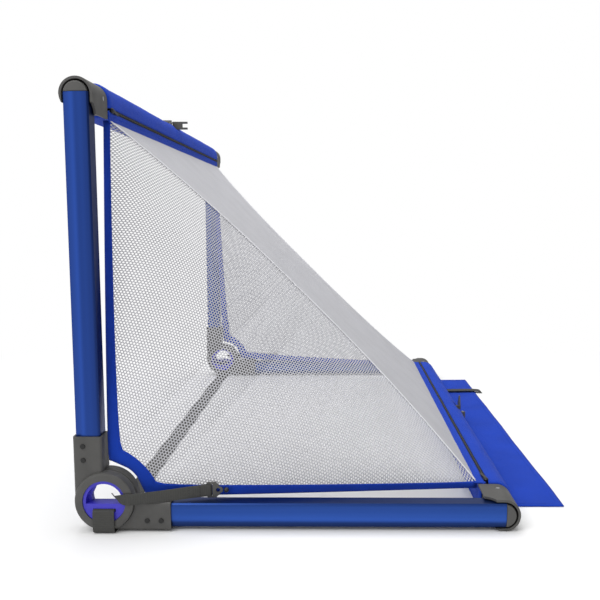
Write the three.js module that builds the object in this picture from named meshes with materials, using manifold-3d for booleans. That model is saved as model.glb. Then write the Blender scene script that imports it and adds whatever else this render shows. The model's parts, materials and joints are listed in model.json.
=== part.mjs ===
// A pop up goal for the garden: two L-shaped side frames, each an aluminium post and an aluminium ground bar
// joined by a round hub hinge, and two cross members, a crossbar and a rear bar, that each fold at mid-length.
// Millimetres, +Z up. Origin on the ground at mid-width, under the two hub axes. +X runs from the mouth of the
// goal to its rear, +Y from its right side to its left side.
import * as THREE from 'three';
import { ParametricGeometry } from 'three/addons/geometries/ParametricGeometry.js';
import { mergeVertices } from 'three/addons/utils/BufferGeometryUtils.js';
import Module from 'manifold-3d';

const wasm = await Module();
wasm.setup();

// ---- Driving dimensions -------------------------------------------------------------------------------------
const WIDTH = 1200; // over the two hubs' outer faces
const HUB_HEIGHT = 53.7; // hub axis above the ground
const ARM_LENGTH = 668; // hub axis to corner centre, along the post and along the ground bar alike
const HOOD_RADIUS = 27.2; // corner hoods; the rear ones rest on the ground
const GAP = 0.3; // between fitted pieces

const TUBE_WIDTH = 41.6; // post and ground bar extrusion, in the plane of the side frame
const TUBE_DEPTH = 27; // and across it
const TUBE_SETBACK = 9.5; // the tube's outer face behind the hub's outer face
const TUBE_WALL = 1.8;
const BAR_WIDTH = 41; // crossbar and rear bar extrusion, along its hinge pins
const BAR_HEIGHT = 27;

const HUB_RADIUS = 49.9;
const HUB_BORE = 36.1;
const HUB_PLATE = 20.8; // thickness of each housing's round plate
const SOCKET_WALL = 3.3;
const SOCKET_END = 109.5; // where each socket ends, from the hub axis
const SCREW_PLACES = { outer: 93.5, inner: 70 }; // along the socket, from the hub axis
const SCREW_OFFSET = 7.3; // from the tube's centreline, away from the hub axis

const HOOD_WALL = 3.7;
const RING_BORE = 23;
const HOOD_LEG = 31; // how far the hood's sides reach past the corner centre
const HOOD_START = 588; // the hood's two ends, from mid-width
const HOOD_END = 518;
const PIN_PLACE = 535; // corner pins, from mid-width
const PIN_RADIUS = 4;
const CENTRE_PIN_RISE = 34.5; // centre hinge pin past the bar's centreline, on the outer side of the fold
const CENTRE_PIN_RADIUS = 2.8;

const SLEEVE_RADIUS = 30; // fabric sleeve's outer arch
const SLEEVE_FRONT = 26.6; // its flat side, towards the mouth or the ground
const SLEEVE_DROP = 27;
const SLEEVE_END = 516;
const SLEEVE_WALL = 2.2;
const NET_THICK = 1.6;
const SEAM_ENDS = 511; // the seam's two ends, from mid-width
const SEAM_WAIST = 302; // and its middle
const STRAP_THICK = 1.8;
const FLAP_LENGTH = 99;
const FLAP_WIDTH = 980;
const FLAP_STRAP_SIDES = [326, 350];

// ---- Values worked out from them ----------------------------------------------------------------------------
const ARM_OFFSET = HUB_HEIGHT - HOOD_RADIUS; // tube centreline to the hub axis
const HALF_TUBE = TUBE_WIDTH / 2;
const HALF_BAR = BAR_WIDTH / 2;
const HALF_HEIGHT = BAR_HEIGHT / 2;
const HUB_FACE = -WIDTH / 2;
const TUBE_FACE = HUB_FACE + TUBE_SETBACK;
const TUBE_BACK = TUBE_FACE + TUBE_DEPTH;
const SOCKET_FACE = TUBE_FACE - GAP - SOCKET_WALL;
const SOCKET_BACK = TUBE_BACK + GAP + SOCKET_WALL;
const HALF_SOCKET = HALF_TUBE + GAP + SOCKET_WALL;
const SOCKET_START = HUB_RADIUS + 0.5;
const TUBE_START = SOCKET_START + 6;
const TUBE_END = ARM_LENGTH + 3;
const WEB_BACK = TUBE_BACK + 6; // the hood's web stands against the tube's inner face
const HALF_SEAM = (ARM_LENGTH - HOOD_LEG - 1) * Math.SQRT1_2; // half the seam between two net panels

// ---- Materials ----------------------------------------------------------------------------------------------
function material(color, roughness, metalness) {
  return () => new THREE.MeshStandardMaterial({ color, roughness, metalness });
}
const anodisedBlue = material(0x2450a8, 0.35, 0.9);
const barAluminium = material(0xb4b8bd, 0.4, 0.9);
const greyPlastic = material(0x565654, 0.6, 0);
const corePlastic = material(0x3d33cc, 0.45, 0);
const blackSteel = material(0x151516, 0.45, 0.6);
const pinSteel = material(0x9a9da1, 0.3, 1);
const blueFabric = material(0x2344b4, 0.9, 0);
const netFabric = material(0xd2d2d6, 0.95, 0);
const greyWebbing = material(0x494947, 0.95, 0);

// ---- Solids -------------------------------------------------------------------------------------------------
function toSolid(geometry) {
  const bare = geometry.index ? geometry.toNonIndexed() : geometry.clone();
  bare.deleteAttribute('normal');
  bare.deleteAttribute('uv');
  const merged = mergeVertices(bare, 1e-4);
  const vertProperties = new Float32Array(merged.attributes.position.array);
  const triVerts = new Uint32Array(merged.index.array);
  return new wasm.Manifold(new wasm.Mesh({ numProp: 3, vertProperties, triVerts }));
}

function toGeometry(solid) {
  const made = solid.getMesh();
  const geometry = new THREE.BufferGeometry();
  geometry.setAttribute('position', new THREE.BufferAttribute(new Float32Array(made.vertProperties), 3));
  geometry.setIndex(new THREE.BufferAttribute(new Uint32Array(made.triVerts), 1));
  const faceted = geometry.toNonIndexed();
  faceted.computeVertexNormals();
  return faceted;
}

function join(first, ...others) {
  return others.reduce((sum, next) => sum.add(next), first);
}

function cut(first, ...others) {
  return others.reduce((rest, next) => rest.subtract(next), first);
}

// A prism of an outline drawn in (x, z), from y0 up to y1.
function prismY(outline, y0, y1, bevel = 0, curveSegments = 12) {
  const geometry = new THREE.ExtrudeGeometry(outline, {
    depth: y1 - y0 - 2 * bevel,
    curveSegments,
    bevelEnabled: bevel > 0,
    bevelThickness: bevel,
    bevelSize: bevel,
    bevelOffset: -bevel,
    bevelSegments: 2,
  });
  geometry.rotateX(Math.PI / 2);
  geometry.translate(0, y1 - bevel, 0);
  return toSolid(geometry);
}

// A prism of an outline drawn in (y, z), from x0 up to x1.
function prismX(outline, x0, x1, curveSegments = 12) {
  const geometry = new THREE.ExtrudeGeometry(outline, { depth: x1 - x0, curveSegments, bevelEnabled: false });
  geometry.applyMatrix4(new THREE.Matrix4().set(0, 0, 1, x0, 1, 0, 0, 0, 0, 1, 0, 0, 0, 0, 0, 1));
  return toSolid(geometry);
}

// A prism of an outline drawn in (x, y), from z0 up to z1.
function prismZ(outline, z0, z1, curveSegments = 12) {
  const geometry = new THREE.ExtrudeGeometry(outline, { depth: z1 - z0, curveSegments, bevelEnabled: false });
  geometry.translate(0, 0, z0);
  return toSolid(geometry);
}

function block([x0, x1], [y0, y1], [z0, z1]) {
  const geometry = new THREE.BoxGeometry(x1 - x0, y1 - y0, z1 - z0);
  geometry.translate((x0 + x1) / 2, (y0 + y1) / 2, (z0 + z1) / 2);
  return toSolid(geometry);
}

function polygon(points) {
  return new THREE.Shape(points.map(([a, b]) => new THREE.Vector2(a, b)));
}

function disc(a, b, radius) {
  return new THREE.Shape().absarc(a, b, radius, 0, 2 * Math.PI, false);
}

// An arch of radius r round (a, b) with straight sides that reach down to b - drop.
function arch(a, b, r, drop) {
  const outline = new THREE.Shape();
  outline.moveTo(a - r, b - drop);
  outline.lineTo(a + r, b - drop);
  outline.lineTo(a + r, b);
  outline.absarc(a, b, r, 0, Math.PI, false);
  return outline;
}

// ---- Pieces of one arm --------------------------------------------------------------------------------------
// An arm is a post or a ground bar with all it carries. In its own frame the hub axis is the Y axis, the tube runs
// along +Z at x = -ARM_OFFSET, and the cross member leaves its far end towards mid-width.
const TUBE_X = -ARM_OFFSET;

// The extrusion's outer face is a wide flat with a slanted chamfer on its outer side and a small one inside.
function tubeOutline(inset) {
  const half = HALF_TUBE - inset;
  const face = TUBE_FACE + inset;
  const back = TUBE_BACK - inset;
  return [
    [TUBE_X - half, back],
    [TUBE_X - half, face + 4.5],
    [TUBE_X - half + 9.8, face + 1],
    [TUBE_X - 2.5, face],
    [TUBE_X + half - 2.5, face],
    [TUBE_X + half, face + 2.5],
    [TUBE_X + half, back],
  ];
}

function screwHole(place, radius) {
  return prismY(disc(TUBE_X - SCREW_OFFSET, place, radius), SOCKET_FACE - 1, TUBE_FACE + 5);
}

function armTube() {
  const outline = polygon(tubeOutline(0));
  outline.holes.push(polygon(tubeOutline(TUBE_WALL)));
  const tube = prismZ(outline, TUBE_START, TUBE_END - GAP);
  const holes = Object.values(SCREW_PLACES).map((place) => screwHole(place, 1.9));
  return cut(tube, ...holes);
}

// A housing is a round plate that turns on the hub core and a socket that holds the tube. The socket reaches in
// from the side to the plate of its own housing, and is scooped out to clear the plate of the other one.
const SOCKET_ROUNDING = 5;
const PLATE_ROUNDING = 4;

function socketOutline() {
  const low = TUBE_X - HALF_SOCKET;
  const high = TUBE_X + HALF_SOCKET;
  const round = SOCKET_ROUNDING;
  const outline = new THREE.Shape();
  outline.moveTo(low, SOCKET_BACK);
  outline.lineTo(low, SOCKET_FACE + round);
  outline.absarc(low + round, SOCKET_FACE + round, round, Math.PI, 1.5 * Math.PI, false);
  outline.absarc(high - round, SOCKET_FACE + round, round, 1.5 * Math.PI, 2 * Math.PI, false);
  outline.lineTo(high, SOCKET_BACK);
  return outline;
}

function hubHousing(plateFace) {
  const plateBack = plateFace + HUB_PLATE;
  const isOuter = plateFace === HUB_FACE;
  const otherPlate = isOuter ? [plateBack, SOCKET_BACK + 1] : [SOCKET_FACE - 1, plateFace];
  const plate = prismY(disc(0, 0, HUB_RADIUS), plateFace, plateBack, PLATE_ROUNDING, 32);
  const socket = cut(
    prismZ(socketOutline(), 0, SOCKET_END, 4),
    prismY(disc(0, 0, HUB_RADIUS + 0.5), ...otherPlate, 0, 32),
  );
  const cavity = block(
    [TUBE_X - HALF_TUBE - GAP, TUBE_X + HALF_TUBE + GAP],
    [TUBE_FACE - GAP, TUBE_BACK + GAP],
    [TUBE_START - GAP, SOCKET_END + 1],
  );
  const bore = prismY(disc(0, 0, HUB_BORE), HUB_FACE - 1, HUB_FACE + 2 * HUB_PLATE + 5, 0, 32);
  const holes = Object.values(SCREW_PLACES).map((place) => screwHole(place, 1.9));
  return cut(join(plate, socket), cavity, bore, ...holes);
}

function socketScrew(place) {
  const x = TUBE_X - SCREW_OFFSET;
  const headBack = SOCKET_FACE - GAP;
  const head = prismY(disc(x, place, 4.2), headBack - 1.5, headBack, 0.4, 8);
  const shank = prismY(disc(x, place, 1.6), headBack - 0.5, TUBE_FACE + 7, 0, 6);
  return join(head, shank);
}

// The cap's rounded end closes the tube inside the hood's ring, and its spigot sits in the tube.
const CAP_RADIUS = 19.6;

function tubeCap() {
  const foot = Math.asin((TUBE_END - ARM_LENGTH) / CAP_RADIUS);
  const dome = new THREE.Shape();
  dome.absarc(TUBE_X, ARM_LENGTH, CAP_RADIUS, foot, Math.PI - foot, false);
  const end = prismY(dome, TUBE_FACE + 0.5, TUBE_BACK, 1.6);
  const spigot = block(
    [TUBE_X - 14.5, TUBE_X + 14.5],
    [TUBE_FACE + 7, TUBE_BACK - 3.5],
    [ARM_LENGTH - 24, TUBE_END + 3],
  );
  return join(end, spigot);
}

// The hood is a ring round the tube's end, a web against its inner face, and a channel whose two sides hold the
// corner pin. The channel is open towards the hub, so that the cross member can swing out of it.
function cornerHood() {
  const ring = prismY(disc(TUBE_X, ARM_LENGTH, HOOD_RADIUS), -HOOD_START, WEB_BACK);
  const shell = prismY(arch(TUBE_X, ARM_LENGTH, HOOD_RADIUS, HOOD_LEG), -HOOD_START, -HOOD_END);
  const frontOfTube = block(
    [TUBE_X - 2 * HOOD_RADIUS, TUBE_X - 5],
    [-HOOD_START - 1, TUBE_BACK + GAP],
    [ARM_LENGTH - 2 * HOOD_LEG, ARM_LENGTH],
  );
  const tubeRoom = prismY(
    arch(TUBE_X, ARM_LENGTH, RING_BORE, 2 * HOOD_LEG),
    -HOOD_START - 1,
    TUBE_BACK + GAP,
  );
  const barRoom = prismY(
    arch(TUBE_X, ARM_LENGTH, HOOD_RADIUS - HOOD_WALL, 2 * HOOD_LEG),
    WEB_BACK,
    -HOOD_END + 1,
  );
  const scoop = prismX(disc(-HOOD_START - 8, ARM_LENGTH - 36, 24), TUBE_X + 5, TUBE_X + 2 * HOOD_RADIUS);
  const pinHole = prismX(
    disc(-PIN_PLACE, ARM_LENGTH, PIN_RADIUS + GAP),
    TUBE_X - 2 * HOOD_RADIUS,
    TUBE_X + 2 * HOOD_RADIUS,
    6,
  );
  return cut(join(cut(shell, frontOfTube), ring), tubeRoom, barRoom, scoop, pinHole);
}

function cornerPin() {
  const section = disc(-PIN_PLACE, ARM_LENGTH, PIN_RADIUS);
  return prismX(section, TUBE_X - HOOD_RADIUS + GAP, TUBE_X + HOOD_RADIUS - GAP, 6);
}

const KNUCKLE_END = -505; // where the knuckle's shoulder meets the bar tube
const LEAF_BACK = -30; // where the centre leaf's shoulder meets it
const PLUG_INSET = TUBE_WALL + 0.5;

function barKnuckle() {
  const radius = HALF_HEIGHT - 0.2;
  const side = new THREE.Shape();
  side.moveTo(KNUCKLE_END, ARM_LENGTH + radius);
  side.lineTo(-PIN_PLACE, ARM_LENGTH + radius);
  side.absarc(-PIN_PLACE, ARM_LENGTH, radius, Math.PI / 2, (3 * Math.PI) / 2, false);
  side.lineTo(KNUCKLE_END, ARM_LENGTH - radius);
  const body = prismX(side, TUBE_X - HALF_BAR + 2, TUBE_X + HALF_BAR - 2);
  const plug = prismY(polygon(barOutline(PLUG_INSET)), KNUCKLE_END - 1, KNUCKLE_END + 28);
  const pinBore = disc(-PIN_PLACE, ARM_LENGTH, PIN_RADIUS + GAP);
  const bore = prismX(pinBore, TUBE_X - HALF_BAR - 1, TUBE_X + HALF_BAR + 1, 6);
  return cut(join(body, plug), bore);
}

function barOutline(inset) {
  const w = HALF_BAR - inset;
  const h = HALF_HEIGHT - inset;
  const corner = 3;
  return [
    [TUBE_X - w + corner, ARM_LENGTH - h],
    [TUBE_X + w - corner, ARM_LENGTH - h],
    [TUBE_X + w, ARM_LENGTH - h + corner],
    [TUBE_X + w, ARM_LENGTH + h - corner],
    [TUBE_X + w - corner, ARM_LENGTH + h],
    [TUBE_X - w + corner, ARM_LENGTH + h],
    [TUBE_X - w, ARM_LENGTH + h - corner],
    [TUBE_X - w, ARM_LENGTH - h + corner],
  ];
}

function barTube() {
  const outline = polygon(barOutline(0));
  outline.holes.push(polygon(barOutline(TUBE_WALL)));
  return prismY(outline, KNUCKLE_END + GAP, LEAF_BACK - GAP);
}

// Each centre leaf plugs into its half of the bar and raises its ears to the centre pin. The pin stands past the
// sleeve, so that the two halves can close flat against each other.
function centreLeaf(ears) {
  const pinHeight = ARM_LENGTH + CENTRE_PIN_RISE;
  const top = ARM_LENGTH + HALF_HEIGHT - 0.1;
  const body = block(
    [TUBE_X - HALF_BAR + 0.2, TUBE_X + HALF_BAR - 0.2],
    [LEAF_BACK, -0.6],
    [ARM_LENGTH - HALF_HEIGHT + 0.1, top],
  );
  const plug = prismY(polygon(barOutline(PLUG_INSET)), LEAF_BACK - 25, LEAF_BACK + 1);
  const rise = polygon([
    [-24, top - 1],
    [-0.6, top - 1],
    [-0.6, pinHeight],
    [-6.4, pinHeight],
  ]);
  let leaf = join(body, plug);
  for (const [x0, x1] of ears) {
    const from = TUBE_X + x0;
    const to = TUBE_X + x1;
    leaf = join(leaf, prismX(rise, from, to), prismX(disc(0, pinHeight, 6.5), from, to, 8));
  }
  const bore = prismX(disc(0, pinHeight, CENTRE_PIN_RADIUS + GAP), TUBE_X - HALF_BAR, TUBE_X + HALF_BAR, 6);
  return cut(leaf, bore);
}

const OUTER_EARS = [
  [-10, -6],
  [6, 10],
];
const MIDDLE_EAR = [[-5.7, 5.7]];

function centrePin() {
  return prismX(disc(0, ARM_LENGTH + CENTRE_PIN_RISE, CENTRE_PIN_RADIUS), TUBE_X - 11.5, TUBE_X + 11.5, 6);
}

// ---- The catch that holds the folded goal shut --------------------------------------------------------------
const CATCH_FOOT_X = [TUBE_X + 10.5, TUBE_X + 20.5];
const CATCH_FOOT_Z = ARM_LENGTH + HALF_HEIGHT + GAP;

// Two prongs that point to the rear from the crossbar's centre hinge.
function catchFork() {
  const low = ARM_LENGTH + 20;
  const high = ARM_LENGTH + 38.5;
  const prong = 4.6;
  const foot = block(CATCH_FOOT_X, [-16, -7.5], [CATCH_FOOT_Z, high]);
  const palm = block([TUBE_X + 20, TUBE_X + 34], [-15, -8.5], [low, high]);
  const lower = block([TUBE_X + 33, TUBE_X + 46.5], [-14.5, -9], [low, low + prong]);
  const upper = block([TUBE_X + 33, TUBE_X + 46.5], [-14.5, -9], [high - prong, high]);
  return join(foot, palm, lower, upper);
}

// A pointed fin on the rear bar's centre hinge, which the prongs straddle.
function catchFin() {
  const middle = ARM_LENGTH + 31;
  const foot = block(CATCH_FOOT_X, [-25, -18], [CATCH_FOOT_Z, middle + 1.8]);
  const side = polygon([
    [TUBE_X + 18, -46],
    [TUBE_X + 18, -18],
    [TUBE_X + 44, -26],
    [TUBE_X + 44, -30],
  ]);
  return join(foot, prismZ(side, middle - 1.8, middle + 1.8));
}

// ---- Fabric, net and webbing as plain solids ----------------------------------------------------------------
function sleeveOutline(inset) {
  const outline = new THREE.Shape();
  const front = SLEEVE_FRONT - inset;
  const rear = SLEEVE_RADIUS - inset;
  const floor = ARM_LENGTH - SLEEVE_DROP + inset;
  outline.moveTo(TUBE_X - front, floor);
  outline.lineTo(TUBE_X + rear, floor);
  outline.lineTo(TUBE_X + rear, ARM_LENGTH);
  outline.absellipse(TUBE_X, ARM_LENGTH, rear, rear, 0, Math.PI / 2, false);
  outline.absellipse(TUBE_X, ARM_LENGTH, front, rear, Math.PI / 2, Math.PI, false);
  return outline;
}

// One sleeve covers both halves of a bar. A slot at mid-length lets the centre hinge through.
function barSleeve() {
  const outline = sleeveOutline(0);
  outline.holes.push(sleeveOutline(SLEEVE_WALL));
  const sleeve = prismY(outline, -SLEEVE_END, SLEEVE_END);
  const slot = block([TUBE_X - 13, TUBE_X + 27], [-27, 27], [ARM_LENGTH + 15, ARM_LENGTH + 40]);
  const low = [ARM_LENGTH - SLEEVE_DROP - 1, ARM_LENGTH - 20];
  const wide = [TUBE_X - 40, TUBE_X + 40];
  const rightFloor = block(wide, [-SLEEVE_END - 1, -500], low);
  const leftFloor = block(wide, [500, SLEEVE_END + 1], low);
  return cut(sleeve, slot, rightFloor, leftFloor);
}

// The nets are drawn in an arm's frame by s = x + z, which runs square to their common seam, and by the place q
// along the seam, from the top corner to the rear corner. The pull of both panels bends the seam towards mid-width.
const SEAM_S = HALF_SEAM * Math.SQRT2;

function seamReach(q) {
  return SEAM_WAIST + (SEAM_ENDS - SEAM_WAIST) * Math.pow(Math.abs(q) / HALF_SEAM, 2.5);
}

// Where a side net begins: along the post, round the hub and along the ground bar.
function sideNetStart(q) {
  const square = Math.abs(q) * Math.SQRT2;
  const along = (square - 74) / (SEAM_S - 74);
  const straight = square + 2 - 12 * THREE.MathUtils.clamp(along, 0, 1);
  const round = Math.abs(q) < 60 ? Math.SQRT2 * Math.sqrt(60 * 60 - q * q) : 0;
  return { s: Math.max(straight, round), y: -575 + 64 * THREE.MathUtils.clamp(along, 0, 1) };
}

// A side net is a triangle with its lower front corner cut away round the hub. It curves inwards to the seam.
function sideNet() {
  const steps = 8;
  const half = NET_THICK / 2;
  const surface = (u, v, target) => {
    const q = (2 * v - 1) * (HALF_SEAM + 3);
    const start = sideNetStart(q);
    const step = Math.round(u * (2 * steps + 2)) % (2 * steps + 2);
    const closed = v === 0 || v === 1;
    const share = closed ? 0.5 : Math.min(step, 2 * steps + 1 - step) / steps;
    const skin = step <= steps ? half : -half;
    const s = start.s + (SEAM_S - 2 - start.s) * share;
    const y = start.y + (-seamReach(q) - start.y) * Math.pow(share, 2.5) + (closed ? 0 : skin);
    target.set(s / 2 + q * Math.SQRT1_2, y, s / 2 - q * Math.SQRT1_2);
  };
  return toSolid(new ParametricGeometry(surface, 2 * steps + 2, 24));
}

// The rear net hangs from the crossbar's lower edge to the rear bar's front edge, between the two seams.
function backNet() {
  const steps = 16;
  const edge = [];
  for (let step = 0; step <= steps; step += 1) {
    const q = ((2 * step) / steps - 1) * (HALF_SEAM - 2);
    edge.push([q, seamReach(q) - 4]);
  }
  const otherEdge = edge.map(([q, reach]) => [q, -reach]);
  const outline = polygon([...otherEdge, ...edge.reverse()]);
  const geometry = new THREE.ExtrudeGeometry(outline, { depth: NET_THICK, bevelEnabled: false });
  const t = Math.SQRT1_2;
  const middle = (SEAM_S + 3) / 2;
  geometry.applyMatrix4(new THREE.Matrix4().set(t, 0, t, middle, 0, 1, 0, 0, -t, 0, t, middle, 0, 0, 0, 1));
  return toSolid(geometry);
}

// The core is the hub's axle: a blue ring whose window is crossed by a bar that the straps loop round.
const BAR_TOP = -3; // both from the hub axis
const BAR_BOTTOM = -11.5;
const CORE_RIM = 5;

// The part of a disc round the hub axis that lies above the height z.
function discAbove(radius, z) {
  const start = Math.asin(z / radius);
  return new THREE.Shape().absarc(0, 0, radius, start, Math.PI - start, false);
}

function hubCore() {
  const radius = HUB_BORE - GAP;
  const face = HUB_FACE + 2;
  const back = HUB_FACE + 2 * HUB_PLATE - 0.5;
  const drum = prismY(disc(0, 0, radius), face, back, 0, 32);
  const frontRecess = prismY(discAbove(radius - CORE_RIM, BAR_TOP), face - 1, face + 13, 0, 24);
  const backRecess = prismY(discAbove(radius - CORE_RIM, BAR_BOTTOM), face + 21, back + 1, 0, 24);
  const windowOutline = polygon([
    [-24, BAR_TOP],
    [24, BAR_TOP],
    [25.5, 6],
    [15.5, 26],
    [7.5, 29],
    [-7.5, 29],
    [-15.5, 26],
    [-25.5, 6],
  ]);
  const opening = prismY(windowOutline, face - 1, back + 1);
  const slot = block([-19, 19], [face - 1, back + 1], [BAR_BOTTOM - 6, BAR_BOTTOM]);
  return cut(drum, frontRecess, backRecess, opening, slot);
}

// The goal line: a webbing strap along the ground that turns up over each hub's outer face to the core's bar.
function goalLineStrap() {
  const outer = -HUB_FACE + 1.8 + STRAP_THICK;
  const inner = outer - STRAP_THICK;
  const top = HUB_HEIGHT + BAR_BOTTOM - 0.5;
  const outline = polygon([
    [-outer, 0],
    [outer, 0],
    [outer, top],
    [inner, top],
    [inner, STRAP_THICK],
    [-inner, STRAP_THICK],
    [-inner, top],
    [-outer, top],
  ]);
  return prismX(outline, -19, 17.5);
}

// A webbing strap from the hub to the side net's lower border, its buckle plate, and the ball it hooks on to.
const BUCKLE_X = 167;
const BUCKLE_Y = -571.2;
const BUCKLE_HEIGHT = 10; // its centre above the hub axis

function tensionStrap() {
  const start = HUB_FACE - 3.4;
  const thick = 1.4;
  const outline = polygon([
    [22, start],
    [52, start],
    [BUCKLE_X - 1, BUCKLE_Y],
    [BUCKLE_X - 1, BUCKLE_Y + thick],
    [52, start + thick],
    [22, start + thick],
  ]);
  return prismZ(outline, -0.5, 20.5);
}

function strapBuckle() {
  const end = BUCKLE_X + 27;
  const half = 13.5;
  const outline = new THREE.Shape();
  outline.moveTo(BUCKLE_X, BUCKLE_HEIGHT - half);
  outline.lineTo(BUCKLE_X + 15, BUCKLE_HEIGHT - half);
  outline.lineTo(end - 4, BUCKLE_HEIGHT - 5);
  outline.absarc(end - 5, BUCKLE_HEIGHT, 5, -Math.PI / 2, Math.PI / 2, false);
  outline.lineTo(BUCKLE_X + 15, BUCKLE_HEIGHT + half);
  outline.lineTo(BUCKLE_X, BUCKLE_HEIGHT + half);
  const plate = prismY(outline, BUCKLE_Y, BUCKLE_Y + 3, 0.6, 6);
  const slot = block(
    [BUCKLE_X + 4, BUCKLE_X + 9],
    [BUCKLE_Y - 1, BUCKLE_Y + 4],
    [BUCKLE_HEIGHT - 10.5, BUCKLE_HEIGHT + 10.5],
  );
  const eye = prismY(disc(BUCKLE_X + 18.5, BUCKLE_HEIGHT, 3.7), BUCKLE_Y - 1, BUCKLE_Y + 4, 0, 6);
  return cut(plate, slot, eye);
}

function ballKnob() {
  const radius = 4.4;
  const profile = [new THREE.Vector2(0, -radius)];
  for (let step = 1; step < 8; step += 1) {
    const angle = (step / 8) * Math.PI * 0.86 - Math.PI / 2;
    profile.push(new THREE.Vector2(radius * Math.cos(angle), radius * Math.sin(angle)));
  }
  const stem = 1.6;
  profile.push(new THREE.Vector2(stem, radius + 0.4));
  profile.push(new THREE.Vector2(stem, radius + 2));
  profile.push(new THREE.Vector2(0, radius + 2));
  const geometry = new THREE.LatheGeometry(profile, 16);
  geometry.translate(BUCKLE_X + 32.5, BUCKLE_Y + 1, BUCKLE_HEIGHT);
  return toSolid(geometry);
}

// ---- Assembly -----------------------------------------------------------------------------------------------
const goal = new THREE.Group();
goal.name = 'pop_up_goal';

function add(parent, name, solid, makeMaterial) {
  const mesh = new THREE.Mesh(toGeometry(solid), makeMaterial());
  mesh.name = name;
  parent.add(mesh);
}

// A post arm stands on the hub axis. A ground arm is its reflection in the plane that halves the frame's corner.
function postFrame(parent) {
  const frame = new THREE.Group();
  frame.position.z = HUB_HEIGHT;
  parent.add(frame);
  return frame;
}

function groundFrame(parent) {
  const frame = new THREE.Group();
  frame.matrixAutoUpdate = false;
  frame.matrix.set(0, 0, 1, 0, 0, 1, 0, 0, 1, 0, 0, HUB_HEIGHT, 0, 0, 0, 1);
  parent.add(frame);
  return frame;
}

function addArm(frame, names, side, plateFace, ears) {
  add(frame, `${names.tube}_tube_${side}`, armTube(), anodisedBlue);
  add(frame, `${names.tube}_end_cap_${side}`, tubeCap(), greyPlastic);
  add(frame, `hub_${names.tube}_housing_${side}`, hubHousing(plateFace), greyPlastic);
  for (const [place, distance] of Object.entries(SCREW_PLACES)) {
    add(frame, `${names.tube}_screw_${place}_${side}`, socketScrew(distance), blackSteel);
  }
  add(frame, `${names.corner}_hood_${side}`, cornerHood(), greyPlastic);
  add(frame, `${names.corner}_corner_pin_${side}`, cornerPin(), pinSteel);
  add(frame, `${names.bar}_knuckle_${side}`, barKnuckle(), greyPlastic);
  add(frame, `${names.bar}_tube_${side}`, barTube(), barAluminium);
  add(frame, `${names.bar}_hinge_leaf_${side}`, centreLeaf(ears), greyPlastic);
}

const POST = { tube: 'post', corner: 'top', bar: 'crossbar' };
const GROUND = { tube: 'ground', corner: 'rear', bar: 'rear_bar' };
const GROUND_PLATE_FACE = HUB_FACE + HUB_PLATE + 0.6;

for (const side of ['right', 'left']) {
  const half = new THREE.Group();
  half.scale.y = side === 'right' ? 1 : -1;
  goal.add(half);
  const ears = side === 'right' ? OUTER_EARS : MIDDLE_EAR;
  const post = postFrame(half);
  addArm(post, POST, side, HUB_FACE, ears);
  addArm(groundFrame(half), GROUND, side, GROUND_PLATE_FACE, ears);
  add(post, `hub_core_${side}`, hubCore(), corePlastic);
  add(post, `side_net_${side}`, sideNet(), netFabric);
  add(post, `tension_strap_${side}`, tensionStrap(), greyWebbing);
  add(post, `tension_buckle_${side}`, strapBuckle(), greyPlastic);
  add(post, `tension_ball_${side}`, ballKnob(), blackSteel);
  if (side === 'left') {
    add(post, 'fold_catch_fork', catchFork(), greyPlastic);
    add(groundFrame(half), 'fold_catch_fin', catchFin(), greyPlastic);
  }
}

const top = postFrame(goal);
const rear = groundFrame(goal);
add(top, 'crossbar_centre_pin', centrePin(), pinSteel);
add(rear, 'rear_bar_centre_pin', centrePin(), pinSteel);
add(top, 'crossbar_sleeve', barSleeve(), blueFabric);
add(rear, 'rear_bar_sleeve', barSleeve(), blueFabric);
add(top, 'back_net', backNet(), netFabric);
add(goal, 'goal_line_strap', goalLineStrap(), greyWebbing);

const flapStart = ARM_LENGTH + SLEEVE_RADIUS + 2;
const flapLift = 0.4;
const flap = block(
  [flapStart, flapStart + FLAP_LENGTH],
  [-FLAP_WIDTH / 2, FLAP_WIDTH / 2],
  [flapLift, flapLift + STRAP_THICK],
);
add(goal, 'ground_flap', flap, blueFabric);
const strapLift = flapLift + STRAP_THICK + GAP;
const looseStrap = block(
  [flapStart + 1, flapStart + FLAP_LENGTH + 20],
  FLAP_STRAP_SIDES,
  [strapLift, strapLift + STRAP_THICK],
);
add(goal, 'flap_strap', looseStrap, greyWebbing);

export default goal;
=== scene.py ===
"""Looks of a pop up goal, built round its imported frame.

The row frame is in metres: +X runs from the mouth to the rear, +Y to the goal's left side, +Z up.
Soft pieces are drawn in the frame of one arm, in millimetres from the hub axis, with the tube along
+Z and the goal's middle at y = 0. A ground bar is its post's reflection (x and z change places), and
the left side is the right side's.
"""

import json
import math

import bpy
import numpy as np
from mathutils import Matrix, Vector

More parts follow.
